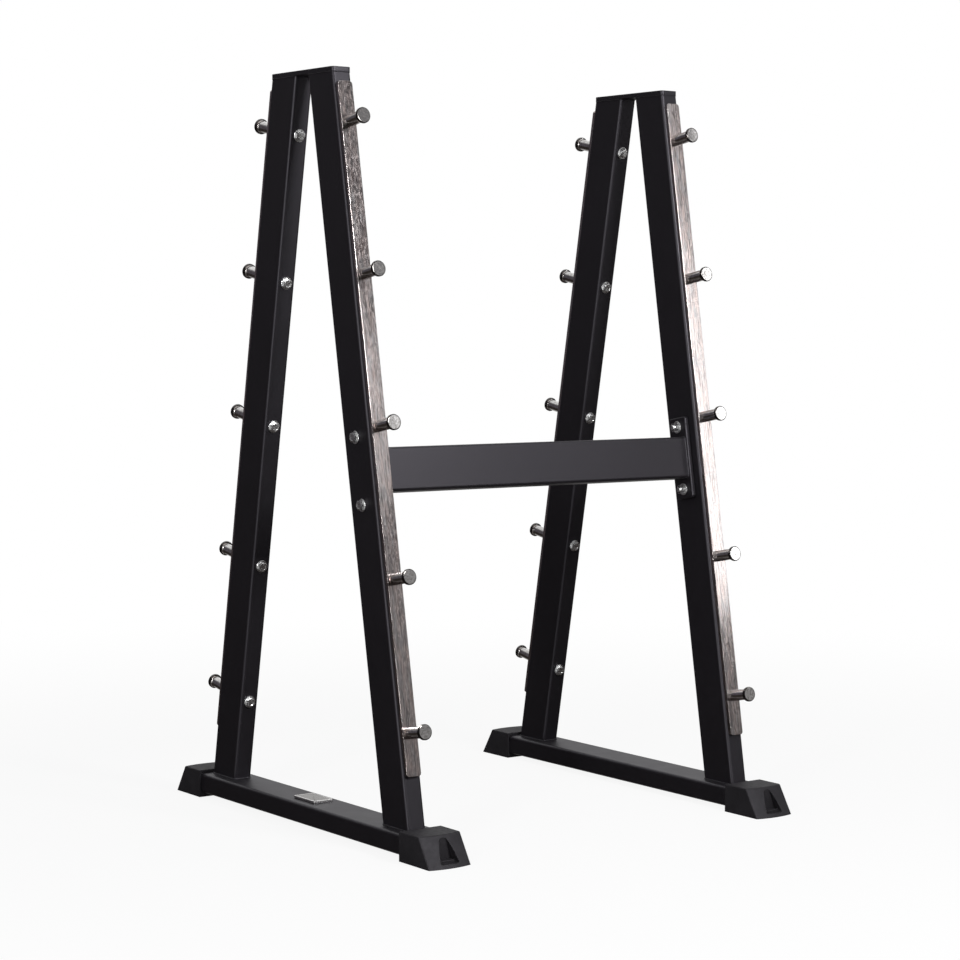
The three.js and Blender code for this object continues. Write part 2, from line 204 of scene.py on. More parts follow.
class Finish:
    """A procedural material on the piece's own coordinates."""

    def __init__(self, name):
        self.material = bpy.data.materials.new(name)
        self.material.use_nodes = True
        self.nodes = self.material.node_tree.nodes
        self.links = self.material.node_tree.links
        self.shader = self.nodes["Principled BSDF"]
        self.place = self.nodes.new("ShaderNodeTexCoord").outputs["Object"]

    def set(self, **values):
        """Puts plain values on the shader's own sockets."""
        for name, value in values.items():
            self.shader.inputs[name.replace("_", " ")].default_value = value

    def stretched(self, stretch, turn, source=None):
        """The piece's own coordinates, turned and then scaled along each direction."""
        mapping = self.nodes.new("ShaderNodeMapping")
        mapping.inputs["Rotation"].default_value = turn
        self.links.new(source or self.place, mapping.inputs["Vector"])
        spread = self.nodes.new("ShaderNodeMapping")
        spread.inputs["Scale"].default_value = stretch
        self.links.new(mapping.outputs[0], spread.inputs["Vector"])
        return spread.outputs[0]

    def grain(self, scale, detail=3.0, stretch=(1, 1, 1), turn=(0, 0, 0), rough=0.55, source=None):
        """Noise, stretched along the piece's own directions."""
        noise = self.nodes.new("ShaderNodeTexNoise")
        noise.inputs["Scale"].default_value = scale
        noise.inputs["Detail"].default_value = detail
        noise.inputs["Roughness"].default_value = rough
        self.links.new(self.stretched(stretch, turn, source), noise.inputs["Vector"])
        return noise.outputs["Fac"]

    def flecks(self, stretch, turn):
        """Small cells, each of a value of its own."""
        cells = self.nodes.new("ShaderNodeTexVoronoi")
        cells.inputs["Scale"].default_value = 1
        self.links.new(self.stretched(stretch, turn), cells.inputs["Vector"])
        return cells.outputs["Color"]

    def layer(self, name):
        """A value that the piece's mesh carries under this name."""
        node = self.nodes.new("ShaderNodeAttribute")
        node.attribute_name = name
        return node

    def ranged(self, value, low, high, start=0.3, end=0.7):
        """Maps a noise value from start..end to low..high."""
        node = self.nodes.new("ShaderNodeMapRange")
        self.links.new(value, node.inputs["Value"])
        node.inputs["From Min"].default_value = start
        node.inputs["From Max"].default_value = end
        node.inputs["To Min"].default_value = low
        node.inputs["To Max"].default_value = high
        return node.outputs["Result"]

    def blend(self, value, first, second, start=0.3, end=0.7):
        """Colour between two, by a noise value."""
        ramp = self.nodes.new("ShaderNodeValToRGB")
        ramp.color_ramp.elements[0].position = start
        ramp.color_ramp.elements[0].color = (*first, 1)
        ramp.color_ramp.elements[1].position = end
        ramp.color_ramp.elements[1].color = (*second, 1)
        self.links.new(value, ramp.inputs["Fac"])
        return ramp.outputs["Color"]

    def product(self, first, second):
        """Two colours multiplied."""
        mix = self.nodes.new("ShaderNodeMix")
        mix.data_type = "RGBA"
        mix.blend_type = "MULTIPLY"
        mix.inputs["Factor"].default_value = 1
        self.links.new(first, mix.inputs["A"])
        self.links.new(second, mix.inputs["B"])
        return mix.outputs["Result"]

    def to(self, value, socket):
        """Leads a value into one of the shader's sockets."""
        self.links.new(value, self.shader.inputs[socket])

    def relief(self, *layers):
        """Stacked bumps, each a height value with its depth in metres and its strength."""
        normal = None
        for value, depth, strength in layers:
            bump = self.nodes.new("ShaderNodeBump")
            bump.inputs["Distance"].default_value = depth
            bump.inputs["Strength"].default_value = strength
            self.links.new(value, bump.inputs["Height"])
            if normal:
                self.links.new(normal, bump.inputs["Normal"])
            normal = bump.outputs["Normal"]
        self.to(normal, "Normal")


def black_paint():
    """Satin black powder coat, with a fine orange peel and a little handling haze."""
    finish = Finish("black powder coat")
    haze = finish.grain(7, detail=4)
    finish.to(finish.blend(haze, (0.0036, 0.0031, 0.0040), (0.0050, 0.0043, 0.0056)), "Base Color")
    finish.to(finish.ranged(finish.grain(30, detail=4), 0.44, 0.48), "Roughness")
    finish.set(Specular_IOR_Level=0.75, Specular_Tint=(0.93, 0.89, 1.0, 1))
    finish.relief(
        (finish.grain(560, detail=2), 0.00012, 0.22),
        (finish.grain(90, detail=2), 0.00020, 0.10),
    )
    return finish.material


def brushed_strip(lean):
    """Bare flat bar, brushed lengthwise, with soft patches, score lines and flecks of wear."""
    finish = Finish("brushed strip steel")
    turn = (lean, 0, 0)
    streaks = finish.grain(1, detail=4, stretch=(1500, 1500, 30), turn=turn)
    patches = finish.grain(1, detail=4, stretch=(90, 90, 22), turn=turn, rough=0.6)
    lines = finish.grain(1, detail=3, stretch=(500, 500, 20), turn=turn)
    specks = finish.flecks((720, 720, 150), turn)
    colour = finish.blend(patches, (0.66, 0.645, 0.65), (0.87, 0.735, 0.70))
    wear = finish.blend(specks, grey(0.60), WHITE, 0.15, 0.75)
    scores = finish.blend(lines, grey(0.62), WHITE, 0.37, 0.51)
    finish.to(finish.product(finish.product(colour, wear), scores), "Base Color")
    finish.to(finish.ranged(specks, 0.11, 0.218, 0.15, 0.85), "Roughness")
    finish.set(Metallic=1.0)
    finish.relief((streaks, 0.00003, 0.35), (lines, 0.00004, 0.3))
    return finish.material


def turned_steel():
    """Turned and polished peg, with faint rings of the lathe tool and a rim darkened by a painted dark
    reflection.
    """
    finish = Finish("turned peg steel")
    rings = finish.layer("turning").outputs["Vector"]
    along = finish.grain(1, detail=3, stretch=(450, 0, 0), source=rings)
    cloud = finish.grain(210, detail=4, rough=0.7)
    rim = finish.layer("rim").outputs["Fac"]
    colour = finish.blend(cloud, (0.50, 0.48, 0.465), (0.86, 0.85, 0.84), 0.36, 0.60)
    # Painted dark reflection: the rim's colour is darkened to stand in for the dark surroundings that
    # the polished rim mirrors
    painted_dark_reflection = finish.blend(rim, WHITE, (0.15, 0.145, 0.14), 0.15, 0.9)
    finish.to(finish.product(colour, painted_dark_reflection), "Base Color")
    finish.to(finish.ranged(cloud, 0.20, 0.08, 0.36, 0.64), "Roughness")
    finish.set(Metallic=1.0)
    finish.relief((along, 0.00006, 0.5), (cloud, 0.00012, 0.3))
    return finish.material


def zinc_plate():
    """Bright mottled zinc on bolts, nuts and washers."""
    finish = Finish("bright zinc")
    cloud = finish.grain(300, detail=4, rough=0.7)
    finish.to(finish.blend(cloud, (0.62, 0.63, 0.64), (0.97, 0.97, 0.96), 0.36, 0.60), "Base Color")
    finish.to(finish.ranged(cloud, 0.52, 0.17, 0.34, 0.61), "Roughness")
    finish.set(Metallic=1.0)
    finish.relief((finish.grain(460, detail=2), 0.0003, 0.5))
    return finish.material


def moulded_rubber():
    """Dark moulded rubber with a fine matt grain."""
    finish = Finish("moulded rubber")
    cloud = finish.grain(26, detail=4)
    finish.to(finish.blend(cloud, (0.0095, 0.0088, 0.0100), (0.0140, 0.0130, 0.0148)), "Base Color")
    finish.to(finish.ranged(finish.grain(120, detail=4), 0.58, 0.68), "Roughness")
    finish.set(Specular_IOR_Level=0.42, Specular_Tint=(0.95, 0.92, 1.0, 1))
    finish.relief(
        (finish.grain(1700, detail=2), 0.00006, 0.35),
        (finish.grain(140, detail=3), 0.00025, 0.12),
    )
    return finish.material


def satin_badge():
    """Plain satin metal, brushed along the plate, with a darker sunk field."""
    finish = Finish("satin badge metal")
    streaks = finish.grain(1, detail=4, stretch=(1900, 30, 600))
    cloud = finish.grain(60, detail=3)
    field = finish.layer("field").outputs["Fac"]
    colour = finish.blend(cloud, (0.74, 0.73, 0.72), (0.90, 0.89, 0.88))
    tint = finish.blend(field, WHITE, (0.42, 0.415, 0.41), 0.4, 0.9)
    finish.to(finish.product(colour, tint), "Base Color")
    finish.to(finish.ranged(streaks, 0.24, 0.38), "Roughness")
    finish.set(Metallic=1.0)
    finish.relief((streaks, 0.00004, 0.5))
    return finish.material


PAINT = black_paint()
STRIP = {"front": brushed_strip(LEAN), "rear": brushed_strip(-LEAN)}
PEG = turned_steel()
ZINC = zinc_plate()
RUBBER = moulded_rubber()
BADGE = satin_badge()


# Making of pieces
def in_scene(name, data):
    """A new object in the scene for a mesh, a curve, a lamp or a camera."""
    thing = bpy.data.objects.new(name, data)
    bpy.context.scene.collection.objects.link(thing)
    return thing


def as_piece(name, mesh, material, replaced=(), angle=SMOOTH_ANGLE):
    """A smooth-shaded object of the rack, which rides on its one body."""
    mesh.shade_smooth()
    mesh.set_sharp_from_angle(angle=angle)
    mesh.materials.clear()
    mesh.materials.append(material)
    piece = in_scene(name, mesh)
    evened = piece.modifiers.new("even shading", "WEIGHTED_NORMAL")
    evened.keep_sharp = True
    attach(piece, "root")
    if replaced:
        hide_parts(*replaced)
    return piece


def to_mesh(name, bm, place=AS_IS):
    """The finished shape as a mesh in its place, with its faces outward."""
    bmesh.ops.recalc_face_normals(bm, faces=bm.faces)
    bmesh.ops.transform(bm, matrix=place, verts=bm.verts)
    mesh = bpy.data.meshes.new(name)
    bm.to_mesh(mesh)
    bm.free()
    return mesh


def rounded_box(size, centre, axis, radius, segments=CORNER_SEGMENTS):
    """A bar with the four edges that run along one axis rounded."""
    bm = bmesh.new()
    bmesh.ops.create_cube(bm, size=1)
    bmesh.ops.scale(bm, vec=size, verts=bm.verts)
    bmesh.ops.translate(bm, vec=centre, verts=bm.verts)
    along = [e for e in bm.edges if abs((e.verts[0].co - e.verts[1].co)[axis]) > size[axis] / 2]
    bmesh.ops.bevel(bm, geom=along, offset=radius, offset_type="OFFSET", segments=segments,
                    profile=0.5, affect="EDGES", material=-1)
    return bm


def ease_rims(bm, axis, levels, radius, segments=EDGE_SEGMENTS):
    """Rounds the edges round the flat faces that lie at the given levels of one axis."""
    near = radius / 10
    rims = [
        e for e in bm.edges
        if any(all(abs(v.co[axis] - level) < near for v in e.verts) for level in levels)
        and len(e.link_faces) == 2
        and any(abs(f.normal[axis]) < 0.5 for f in e.link_faces)
    ]
    bmesh.ops.bevel(bm, geom=rims, offset=radius, offset_type="OFFSET", segments=segments,
                    profile=0.5, affect="EDGES", material=-1)


def eased_plate(size, centre, axis, corner, edge):
    """A plate across one axis, its corners rounded and the rims of its faces eased."""
    bm = rounded_box(size, centre, axis, corner)
    bm.normal_update()
    ease_rims(bm, axis, (centre[axis] - size[axis] / 2, centre[axis] + size[axis] / 2), edge)
    return bm


def turned(profile, steps):
    """A shape turned on z from radius and place pairs."""
    bm = bmesh.new()
    verts = [bm.verts.new((radius, 0, place)) for radius, place in profile]
    edges = [bm.edges.new(pair) for pair in zip(verts, verts[1:])]
    bmesh.ops.spin(bm, geom=verts + edges, cent=(0, 0, 0), axis=(0, 0, 1), angle=2 * math.pi,
                   steps=steps, use_merge=True)
    bmesh.ops.remove_doubles(bm, verts=bm.verts, dist=1e-6)
    return bm


def shaped(mesh, tools):
    """The mesh after each tool has been taken away from it or has trimmed it."""
    body = in_scene("body", mesh)
    for tool, kind in tools:
        step = body.modifiers.new("cut", "BOOLEAN")
        step.operation = kind
        step.solver = "EXACT"
        step.object = tool
    shape = body.evaluated_get(bpy.context.evaluated_depsgraph_get())
    result = bpy.data.meshes.new_from_object(shape)
    for item in [body] + [tool for tool, kind in tools]:
        bpy.data.objects.remove(item)
    return result


def hex_mesh(height, dish, both=False):
    """Hex head standing on zero, its corners turned down to its round face, or a nut with both set.

    Known fault: OVERRUN reaches too far for the height of the nut. The two chamfers of its trim
    cross, so the trim is inside out, and only the corners of the nut are left. A reach of 1 mm
    past the corners would keep it whole.
    """
    bm = bmesh.new()
    radius = HEX_FLATS / math.sqrt(3)
    middle = Matrix.Translation((0, 0, height / 2))
    bmesh.ops.create_cone(bm, cap_ends=True, segments=6, radius1=radius, radius2=radius,
                          depth=height, matrix=middle)
    face = HEX_FLATS / 2 * HEX_FACE_SHARE
    reach = radius + OVERRUN
    fall = (reach - face) * math.tan(HEX_CHAMFER)
    profile = [
        (0, height - dish), (face * DISH_FLOOR_SHARE, height - dish), (face * DISH_BRIM_SHARE, height),
        (face, height), (reach, height - fall),
    ]
    if both:
        profile += [(reach, fall), (face, 0), (0, 0)]
    else:
        profile += [(reach, -OVERRUN), (0, -OVERRUN)]
    trim = in_scene("trim", to_mesh("trim", turned(profile, HEX_STEPS)))
    return shaped(to_mesh("hex", bm), [(trim, "INTERSECT")])


def bolt_mesh(head_low, low, threaded_from=None):
    """Hex bolt on z: its head and its shank, threaded from the free end to a level if one is given."""
    high = head_low + HEAD_THICKNESS / 2
    root = BOLT_RADIUS - THREAD_DEPTH
    profile = [(0, low), (root, low)]
    if threaded_from is not None:
        place = low
        while place + THREAD_PITCH < threaded_from:
            profile.append((root, place + THREAD_PITCH * THREAD_ROOT_SHARE))
            profile.append((BOLT_RADIUS, place + THREAD_PITCH / 2))
            profile.append((root, place + THREAD_PITCH * (1 - THREAD_ROOT_SHARE)))
            place += THREAD_PITCH
        low = place + THREAD_DEPTH
    profile += [(BOLT_RADIUS, low + THREAD_DEPTH), (BOLT_RADIUS, high), (0, high)]
    bm = turned(profile, BOLT_STEPS)
    head = HEX_HEAD.copy()
    head.transform(Matrix.Translation((0, 0, head_low)))
    bm.from_mesh(head)
    bpy.data.meshes.remove(head)
    return bm


def tube_outline(width, height, radius, step):
    """Points round a rounded rectangle, about a step apart."""
    points = []
    corners = [(1, 1, 0), (-1, 1, 1), (-1, -1, 2), (1, -1, 3)]
    arc_steps = max(3, round(radius * math.pi / 2 / step))
    for sx, sy, quarter in corners:
        cx, cy = sx * (width / 2 - radius), sy * (height / 2 - radius)
        for i in range(arc_steps + 1):
            turn = math.pi / 2 * (quarter + i / arc_steps)
            points.append((cx + radius * math.cos(turn), cy + radius * math.sin(turn)))
        straight = (height if quarter % 2 else width) - 2 * radius
        count = max(2, round(straight / step))
        last = points[-1]
        ahead = math.pi / 2 * (quarter + 2)
        for i in range(1, count):
            go = straight * i / count
            points.append((last[0] + go * math.cos(ahead), last[1] + go * math.sin(ahead)))
    return points


def weld_bead(name, points, radius=WELD_RADIUS):
    """A painted weld bead along a closed path, with the ripples of the torch."""
    curve = bpy.data.curves.new(name, "CURVE")
    curve.dimensions = "3D"
    curve.bevel_depth = radius
    curve.bevel_resolution = WELD_ROUNDING
    spline = curve.splines.new("POLY")
    spline.use_cyclic_u = True
    spline.points.add(len(points) - 1)
    gone = 0.0
    for i, (spot, point) in enumerate(zip(spline.points, points)):
        gone += (Vector(point) - Vector(points[i - 1])).length if i else 0.0
        spot.co = (*point, 1)
        ripple = abs(math.sin(math.pi * gone / WELD_RIPPLE))
        spot.radius = WELD_HOLLOW_SHARE + (1 - WELD_HOLLOW_SHARE) * ripple
    holder = in_scene(name, curve)
    shape = holder.evaluated_get(bpy.context.evaluated_depsgraph_get())
    mesh = bpy.data.meshes.new_from_object(shape)
    bpy.data.objects.remove(holder)
    bpy.data.curves.remove(curve)
    as_piece(name, mesh, PAINT, angle=WELD_SMOOTH_ANGLE)


# Frames, with tubes and strips drawn as closed blocks, without hollows or bores
def base_tube(side):
    """The tube that lies under a frame, its ends inside the feet."""
    size = (TUBE_WIDE, 2 * TUBE_END, TUBE_THIN)
    bm = rounded_box(size, (0, 0, SOLE_THICKNESS + TUBE_THIN / 2), 1, TUBE_CORNER)
    mesh = to_mesh("base", bm, frame_place(side))
    as_piece(f"painted_base_{side}", mesh, PAINT, [f"base_tube_{side}"])


def top_plate(side):
    """The plate that joins the two uprights of a frame."""
    face = FACE_SPREAD_AT_FLOOR / 2 - PLATE_UNDERSIDE * math.tan(LEAN)
    size = (TUBE_THIN + 2 * PLATE_OVERHANG, 2 * (face + PLATE_OVERHANG), PLATE_THICKNESS)
    centre = (0, 0, PLATE_UNDERSIDE + PLATE_THICKNESS / 2)
    bm = eased_plate(size, centre, 2, TUBE_CORNER + PLATE_OVERHANG, PLATE_EDGE)
    mesh = to_mesh("plate", bm, frame_place(side))
    as_piece(f"painted_plate_{side}", mesh, PAINT, [f"top_plate_{side}"])


def upright(side, end):
    """A leaning tube, cut level at both ends, with the weld beads round them."""
    bm = rounded_box((TUBE_THIN, TUBE_WIDE, 1), (0, TUBE_WIDE / 2, 0.5), 2, TUBE_CORNER)
    for v in bm.verts:
        level = PLATE_UNDERSIDE - SEAT if v.co.z > 0.5 else BASE_TOP + SEAT
        v.co.z = (level + v.co.y * math.sin(LEAN)) / math.cos(LEAN)
    mesh = to_mesh("upright", bm, leg_place(side, end))
    name = f"painted_upright_{end}_{side}"
    as_piece(name, mesh, PAINT, [f"upright_{end}_{side}"])
    for joint, level, radius in (
        ("foot", BASE_TOP + FOOT_WELD_LIFT, WELD_RADIUS),
        ("head", PLATE_UNDERSIDE - HEAD_WELD_DROP, HEAD_WELD_RADIUS),
    ):
        points = []
        for x, y in tube_outline(TUBE_THIN, TUBE_WIDE, TUBE_CORNER, WELD_STEP):
            deep = y + TUBE_WIDE / 2
            along = (level + deep * math.sin(LEAN)) / math.cos(LEAN)
            points.append(leg_place(side, end) @ Vector((x, deep, along)))
        weld_bead(f"weld_{joint}_{end}_{side}", points, radius)


def wear_strip(side, end):
    """The bare bar on the outer face of an upright."""
    low = BASE_TOP_ALONG + STRIP_LOW_INSET
    high = UPRIGHT_TOP - STRIP_TOP_INSET
    size = (STRIP_WIDTH, STRIP_THICKNESS, high - low)
    centre = (0, -SEAT - STRIP_THICKNESS / 2, (low + high) / 2)
    bm = rounded_box(size, centre, 1, STRIP_CORNER)
    bm.normal_update()
    ease_rims(bm, 1, (-STRIP_FACE,), STRIP_EDGE)
    mesh = to_mesh("strip", bm, leg_place(side, end))
    name = f"brushed_strip_{end}_{side}"
    as_piece(name, mesh, STRIP[end], [f"wear_strip_{end}_{side}"])


def peg_profile():
    """Radius and place along a peg, from its seat on the strip to its outer face."""
    rim, start = PEG_RIM_RADIUS, PEG_REACH - PEG_RIM_THICKNESS
    rounding = PEG_RIM_CHAMFER * ROUND_SHARE
    return [
        (0, SEAT), (PEG_RADIUS - PEG_SEAT_CHAMFER, SEAT), (PEG_RADIUS, SEAT + PEG_SEAT_CHAMFER),
        (PEG_RADIUS, start - PEG_NECK), (PEG_RADIUS + PEG_NECK / 3, start - PEG_NECK / 3),
        (PEG_RADIUS + PEG_NECK, start), (rim - PEG_RIM_CHAMFER, start),
        (rim - rounding, start + rounding), (rim, start + PEG_RIM_CHAMFER),
        (rim, PEG_REACH - PEG_RIM_CHAMFER), (rim - rounding, PEG_REACH - rounding),
        (rim - PEG_RIM_CHAMFER, PEG_REACH), (rim - PEG_RING, PEG_REACH),
        (rim / 2, PEG_REACH - PEG_FACE_DISH / 2), (0, PEG_REACH - PEG_FACE_DISH),
    ]


def peg(side, end, number):
    """A turned peg, with the washer and the hex bolt that hold it from the inner face.

    The layer "turning" changes along the profile, for the rings, and "rim" is one on the rim, where
    the colour carries a painted dark reflection.
    """
    along = PEG_PLACES[number - 1]
    bm = turned(peg_profile(), PEG_STEPS)
    turning = bm.verts.layers.float_vector.new("turning")
    rim = bm.verts.layers.float.new("rim")
    ring_from = PEG_RIM_RADIUS - (PEG_RIM_CHAMFER + PEG_RING) / 2
    for v in bm.verts:
        radius = math.hypot(v.co.x, v.co.y)
        v[turning] = (radius + v.co.z, 0, 0)
        v[rim] = float(radius > ring_from)
    outward = leg_place(side, end) @ Matrix.Translation((0, -STRIP_FACE, along)) @ TO_OUTSIDE
    mesh = to_mesh("peg", bm, outward)
    name = f"{end}_{side}_{number}"
    as_piece(f"turned_peg_{name}", mesh, PEG, [f"peg_{name}"])
    inward = leg_place(side, end) @ Matrix.Translation((0, TUBE_WIDE + SEAT, along)) @ TO_INSIDE
    as_piece(f"peg_washer_{name}", to_mesh("washer", washer_ring(), inward), ZINC)
    bm = bolt_mesh(WASHER_THICKNESS, -TUBE_WIDE - STRIP_FACE)
    as_piece(f"peg_bolt_{name}", to_mesh("bolt", bm, inward), ZINC)


def washer_ring():
    """Stamped washer on z, standing on zero."""
    bore, outside = WASHER_BORE, WASHER_RADIUS
    top, edge = WASHER_THICKNESS, WASHER_EDGE
    profile = [
        (bore, 0), (outside - edge, 0), (outside, edge), (outside, top - edge),
        (outside - edge, top), (bore + edge, top), (bore, top - edge), (bore, 0),
    ]
    return turned(profile, WASHER_STEPS)


# Feet
def arch_block(height):
    """What the arched recess in a foot's slanted face leaves empty, and the ledge at its bottom."""
    low, high = POCKET_LOW_MARGIN, height - POCKET_HIGH_MARGIN
    back_low = BASE_LENGTH / 2 - FOOT_SLANT * low / height - POCKET_LOW_DEPTH
    back_high = BASE_LENGTH / 2 - FOOT_SLANT * high / height - POCKET_HIGH_DEPTH
    corners = (
        (low, POCKET_LOW_WIDTH, POCKET_LOW_EASE),
        (POCKET_MID_MARGIN, POCKET_MID_WIDTH, POCKET_MID_EASE),
        (high, POCKET_HIGH_WIDTH, POCKET_HIGH_EASE),
    )
    bm = bmesh.new()
    right = [bm.verts.new((width / 2, 0, level)) for level, width, ease in corners]
    left = [bm.verts.new((-width / 2, 0, level)) for level, width, ease in corners]
    bm.faces.new(right + left[::-1])
    for pair, (level, width, ease) in zip(zip(right, left), corners):
        bmesh.ops.bevel(bm, geom=list(pair), offset=ease, offset_type="OFFSET",
                        segments=ARCH_SEGMENTS, profile=0.5, affect="VERTICES", material=-1)
    grown = bmesh.ops.extrude_face_region(bm, geom=bm.faces[:])
    outer = {v for v in grown["geom"] if isinstance(v, bmesh.types.BMVert)}
    for v in bm.verts:
        share = (v.co.z - low) / (high - low)
        wall = back_low + (back_high - back_low) * share
        v.co.y = BASE_LENGTH / 2 + OVERRUN if v in outer else wall
    ledge = rounded_box(
        (TUBE_WIDE, LEDGE_REACH + OVERRUN, LEDGE_HEIGHT + OVERRUN),
        (0, back_low + (LEDGE_REACH - OVERRUN) / 2, low + (LEDGE_HEIGHT - OVERRUN) / 2),
        0, LEDGE_EDGE, EDGE_SEGMENTS)
    return bm, ledge


def foot_block(height):
    """The foot before it is hollowed: a slanted block with a bulging end and eased edges."""
    width = TUBE_WIDE + 2 * SLEEVE_SIDE
    outer = BASE_LENGTH / 2
    inner = outer - FOOT_LENGTH
    radius = (width * width / 4 + FOOT_BULGE * FOOT_BULGE) / (2 * FOOT_BULGE)
    start = math.acos(width / 2 / radius)
    bm = bmesh.new()
    verts = [bm.verts.new((-width / 2, inner, 0)), bm.verts.new((width / 2, inner, 0))]
    for i in range(BULGE_STEPS + 1):
        turn = start + (math.pi - 2 * start) * i / BULGE_STEPS
        x, y = radius * math.cos(turn), outer - radius + radius * math.sin(turn)
        verts.append(bm.verts.new((x, y, 0)))
    face = bm.faces.new(verts)
    grown = bmesh.ops.extrude_face_region(bm, geom=[face])
    moved = [v for v in grown["geom"] if isinstance(v, bmesh.types.BMVert)]
    bmesh.ops.translate(bm, vec=(0, 0, height), verts=moved)
    for v in moved:
        if v.co.y > inner + FOOT_LENGTH / 2:
            v.co.y -= FOOT_SLANT
    bm.normal_update()
    side_edges = [e for e in bm.edges if abs(e.verts[0].co.z - e.verts[1].co.z) > height / 2
                  and abs(e.verts[0].co.x) > width / 2 - NEAR and e.verts[0].co.y > inner + NEAR]
    top_edges = [e for e in bm.edges if all(v.co.z > height - NEAR for v in e.verts)]
    bmesh.ops.bevel(bm, geom=list(set(side_edges + top_edges)), offset=FOOT_EDGE, offset_type="OFFSET",
                    segments=EDGE_SEGMENTS + 1, profile=0.5, affect="EDGES", material=-1)
    return bm


def foot_mesh():
    """Moulded foot at the +y end of a frame, with its socket and its arched recess."""
    height = BASE_TOP + SLEEVE_TOP
    inner = BASE_LENGTH / 2 - FOOT_LENGTH
    room = 2 * SEAT
    socket_length = TUBE_END + SEAT - inner + OVERRUN
    socket = rounded_box(
        (TUBE_WIDE + room, socket_length, TUBE_THIN + room),
        (0, inner - OVERRUN + socket_length / 2, SOLE_THICKNESS + TUBE_THIN / 2),
        1, TUBE_CORNER)
    arch, ledge = arch_block(height)
    kept_ledge = in_scene("ledge", to_mesh("ledge", ledge))
    recess = in_scene("recess", shaped(to_mesh("arch", arch), [(kept_ledge, "DIFFERENCE")]))
    hole = in_scene("socket", to_mesh("socket", socket))
    block = to_mesh("foot", foot_block(height))
    return shaped(block, [(hole, "DIFFERENCE"), (recess, "DIFFERENCE")])


def rubber_feet():
    """The four feet, with the edges that are still sharp eased as in a moulding."""
    shape = foot_mesh()
    for side, middle in SIDES.items():
        for end, turn in (("rear", 0.0), ("front", math.pi)):
            mesh = shape.copy()
            mesh.transform(Matrix.Translation((middle, 0, 0)) @ Matrix.Rotation(turn, 4, "Z"))
            name = f"rubber_foot_{end}_{side}"
            piece = as_piece(name, mesh, RUBBER, [f"foot_{end}_{side}"])
            ease = piece.modifiers.new("moulded edges", "BEVEL")
            ease.width = POCKET_EDGE
            ease.segments = POCKET_EDGE_SEGMENTS
            ease.limit_method = "ANGLE"
            ease.angle_limit = POCKET_EDGE_ANGLE
            piece.modifiers.move(1, 0)


# Crossbar and badge
def crossbar():
    """The tube and its flanges, drawn without hollow or bores, with the welds and bolted joints."""
    to_flange = HALF_SPACING - TUBE_THIN / 2 - 2 * SEAT - FLANGE_THICKNESS
    leaning = Matrix.Translation((0, -FACE_SPREAD_AT_FLOOR / 2, 0)) @ Matrix.Rotation(-LEAN, 4, "X")
    middle = leaning @ Matrix.Translation((0, CROSSBAR_DEPTH, CROSSBAR_HEIGHT))
    bm = rounded_box((2 * to_flange, TUBE_THIN, CROSSBAR_WIDE), (0, 0, 0), 0, TUBE_CORNER)
    mesh = to_mesh("crossbar", bm, middle)
    as_piece("painted_crossbar", mesh, PAINT, ["crossbar_tube"])
    for side, sign in (("left", -1), ("right", 1)):
        centre = (sign * (to_flange + SEAT + FLANGE_THICKNESS / 2), 0, 0)
        size = (FLANGE_THICKNESS, FLANGE_WIDTH, FLANGE_LENGTH)
        bm = eased_plate(size, centre, 0, FLANGE_CORNER, FLANGE_EDGE)
        mesh = to_mesh("flange", bm, middle)
        as_piece(f"painted_flange_{side}", mesh, PAINT, [f"crossbar_flange_{side}"])
        outline = tube_outline(TUBE_THIN, CROSSBAR_WIDE, TUBE_CORNER, WELD_STEP)
        points = [middle @ Vector((sign * to_flange, y, z)) for y, z in outline]
        weld_bead(f"weld_crossbar_{side}", points)
        for level, up in (("upper", 1), ("lower", -1)):
            spot = Matrix.Translation((sign * HALF_SPACING, 0, up * FLANGE_BOLT_SPACING / 2))
            outward = Matrix.Rotation(sign * math.pi / 2, 4, "Y")
            fasten(f"{side}_{level}", middle @ spot @ outward)


def fasten(name, place):
    """Bolt, washers and nut of one crossbar joint, with the head toward the outside on z."""
    outside = TUBE_THIN / 2 + SEAT
    head_low = outside + WASHER_THICKNESS + SEAT
    inner_washer = -(outside + FLANGE_THICKNESS + SEAT + WASHER_THICKNESS)
    nut_end = inner_washer - SEAT - NUT_THICKNESS
    for kind, level in (("outer", outside), ("inner", inner_washer)):
        mesh = to_mesh("washer", washer_ring(), place @ Matrix.Translation((0, 0, level)))
        as_piece(f"zinc_washer_{kind}_{name}", mesh, ZINC, [f"crossbar_washer_{kind}_{name}"])
    bm = bolt_mesh(head_low, nut_end - BOLT_TAIL, nut_end + THREAD_PITCH)
    as_piece(f"zinc_bolt_{name}", to_mesh("bolt", bm, place), ZINC, [f"crossbar_bolt_{name}"])
    nut = HEX_NUT.copy()
    nut.transform(place @ Matrix.Translation((0, 0, nut_end)))
    as_piece(f"zinc_nut_{name}", nut, ZINC, [f"crossbar_nut_{name}"])


def badge():
    """A bare plate on the left base tube, with a raised rim round a plain field."""
    size = (BADGE_WIDTH, BADGE_LENGTH, BADGE_THICKNESS)
    centre = (0, 0, BASE_TOP + SEAT + BADGE_THICKNESS / 2)
    bm = eased_plate(size, centre, 2, BADGE_CORNER, BADGE_EDGE)
    bm.normal_update()
    top = max((f for f in bm.faces if f.normal.z > 0.9), key=lambda f: f.calc_area())
    bmesh.ops.inset_region(bm, faces=[top], thickness=BADGE_RIM)
    bmesh.ops.inset_region(bm, faces=[top], thickness=BADGE_SINK, depth=-BADGE_SINK)
    layer = bm.verts.layers.float.new("field")
    for v in top.verts:
        v[layer] = 1.0
    mesh = to_mesh("badge", bm, frame_place("left"))
    as_piece("plain_badge", mesh, BADGE, ["badge_plate"])


